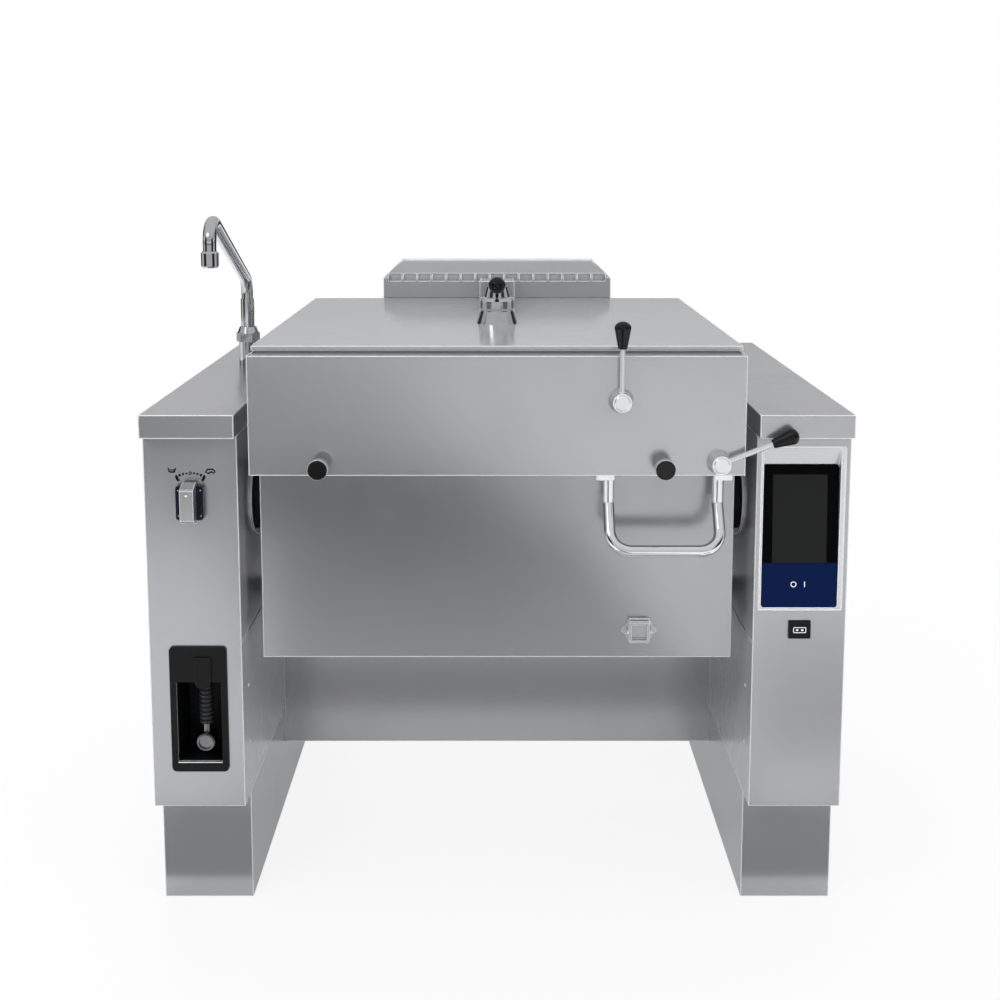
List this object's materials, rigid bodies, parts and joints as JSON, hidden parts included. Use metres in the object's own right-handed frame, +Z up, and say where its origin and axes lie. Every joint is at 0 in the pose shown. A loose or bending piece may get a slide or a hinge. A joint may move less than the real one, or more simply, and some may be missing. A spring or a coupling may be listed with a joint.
{
  "type": "pressure tilting bratt pan",
  "caption": "Floor-standing cooking pan that tilts between side pillars, with a hinged pressure lid, handle, levers, steam hood, water tap, spray and touch panel.",
  "frame": {"origin": "on the floor, below the middle of the machine's width and depth", "axes": "+X to the right seen from the front, +Y to the back, +Z up"},
  "size_m": [1.2, 0.945, 1.224],
  "materials": {
    "satin_steel": "satin brushed stainless steel sheet",
    "frame_steel": "bare welded steel",
    "polished_steel": "polished chrome plate",
    "machined_steel": "machined steel",
    "motor_paint": "grey machine paint",
    "black_plastic": "matte black plastic",
    "grip_plastic": "smooth black plastic",
    "navy_plastic": "dark blue plastic",
    "panel_glass": "black back-printed glass",
    "seal_rubber": "black rubber",
    "heater_metal": "cast aluminium heating element",
    "inlet_brass": "brass pipe",
    "spring_steel": "dark spring steel"
  },
  "bodies": {
    "stand": {"left_plinth": "satin_steel", "right_plinth": "satin_steel", "left_frame": "frame_steel", "right_frame": "frame_steel", "left_front_panel": "satin_steel", "right_front_panel": "satin_steel", "left_side_panels": "satin_steel", "right_side_panels": "satin_steel", "left_back_panel": "satin_steel", "right_back_panel": "satin_steel", "left_worktop": "satin_steel", "right_worktop": "satin_steel", "bridge_cover": "satin_steel", "bridge_beams": "frame_steel", "trunnion_bearings": "machined_steel", "trunnion_collars": "satin_steel", "tilt_gearmotor": "motor_paint", "tap_foot": "polished_steel", "tilt_switch": "black_plastic", "spray_frame": "black_plastic", "spray_housing": "black_plastic", "panel_frame": "satin_steel", "panel_glass": "panel_glass", "port_socket": "black_plastic", "water_inlet": "inlet_brass", "cable_gland": "black_plastic"},
    "pinion": {"drive_pinion": "machined_steel"},
    "spout": {"tap_spout": "polished_steel", "tap_outlet": "polished_steel"},
    "knob": {"tilt_knob": "navy_plastic", "knob_grip": "machined_steel"},
    "spray": {"spray_head": "black_plastic", "spray_coil": "black_plastic", "spray_nozzle": "polished_steel", "spray_hose": "black_plastic"},
    "port_cover": {"port_flap": "black_plastic"},
    "pan": {"vessel": "satin_steel", "rim_deck": "satin_steel", "pan_casing": "satin_steel", "pan_cradle": "frame_steel", "heating_elements": "heater_metal", "trunnion_shafts": "machined_steel", "trunnion_seals": "seal_rubber", "sector_gear": "machined_steel", "probe_socket": "satin_steel", "hinge_brackets": "satin_steel", "balance_springs": "spring_steel"},
    "lid": {"lid_shell": "satin_steel", "lid_cover": "satin_steel", "lid_liner": "satin_steel", "lid_gasket": "seal_rubber", "steam_hood": "satin_steel", "lid_handle": "polished_steel", "lid_bumpers": "grip_plastic", "safety_valve": "polished_steel"},
    "valve_arm": {"valve_lever": "grip_plastic"},
    "lock": {"lock_lever": "polished_steel", "lock_grip": "grip_plastic"},
    "steam_control": {"steam_lever": "polished_steel", "steam_grip": "grip_plastic"}
  },
  "joints": [
    {"name": "pan_tilt", "type": "hinge", "parent": "stand", "child": "pan", "pos_m": [0, -0.2275, 0.718], "axis": [1, 0, 0], "range_deg": [0, 70]},
    {"name": "pinion_turn", "type": "hinge", "parent": "stand", "child": "pinion", "pos_m": [0.49, -0.0976, 0.643], "axis": [1, 0, 0], "range_deg": [-285, 5]},
    {"name": "lid_open", "type": "hinge", "parent": "pan", "child": "lid", "pos_m": [0, 0.4475, 0.93], "axis": [-1, 0, 0], "range_deg": [0, 65], "stiffness_Nm_per_rad": 100, "springref_deg": 126.05},
    {"name": "valve_lift", "type": "hinge", "parent": "lid", "child": "valve_arm", "pos_m": [0, -0.0575, 1.09], "axis": [-1, 0, 0], "range_deg": [0, 25], "stiffness_Nm_per_rad": 0.4, "springref_deg": -11.46},
    {"name": "lock_turn", "type": "hinge", "parent": "lid", "child": "lock", "pos_m": [0.373, -0.4275, 0.82], "axis": [0, -1, 0], "range_deg": [0, 68]},
    {"name": "steam_turn", "type": "hinge", "parent": "lid", "child": "steam_control", "pos_m": [0.207, -0.4275, 0.925], "axis": [0, 1, 0], "range_deg": [0, 90]},
    {"name": "spout_swivel", "type": "hinge", "parent": "stand", "child": "spout", "pos_m": [-0.5205, 0.1385, 1], "axis": [0, 0, -1], "range_deg": [-75, 90]},
    {"name": "knob_turn", "type": "hinge", "parent": "stand", "child": "knob", "pos_m": [-0.5205, -0.4275, 0.747], "axis": [0, -1, 0], "range_deg": [-40, 40], "stiffness_Nm_per_rad": 0.3},
    {"name": "spray_pull", "type": "slide", "parent": "stand", "child": "spray", "axis": [0, -1, 0], "range_m": [0, 0.12], "stiffness_N_per_m": 40, "springref_m": -0.1},
    {"name": "flap_open", "type": "hinge", "parent": "stand", "child": "port_cover", "pos_m": [0.5205, -0.40825, 0.535], "axis": [-1, 0, 0], "range_deg": [0, 110]}
  ],
  "couplings": [
    {"joint": "pinion_turn", "follows": "pan_tilt", "ratio": -4}
  ]
}
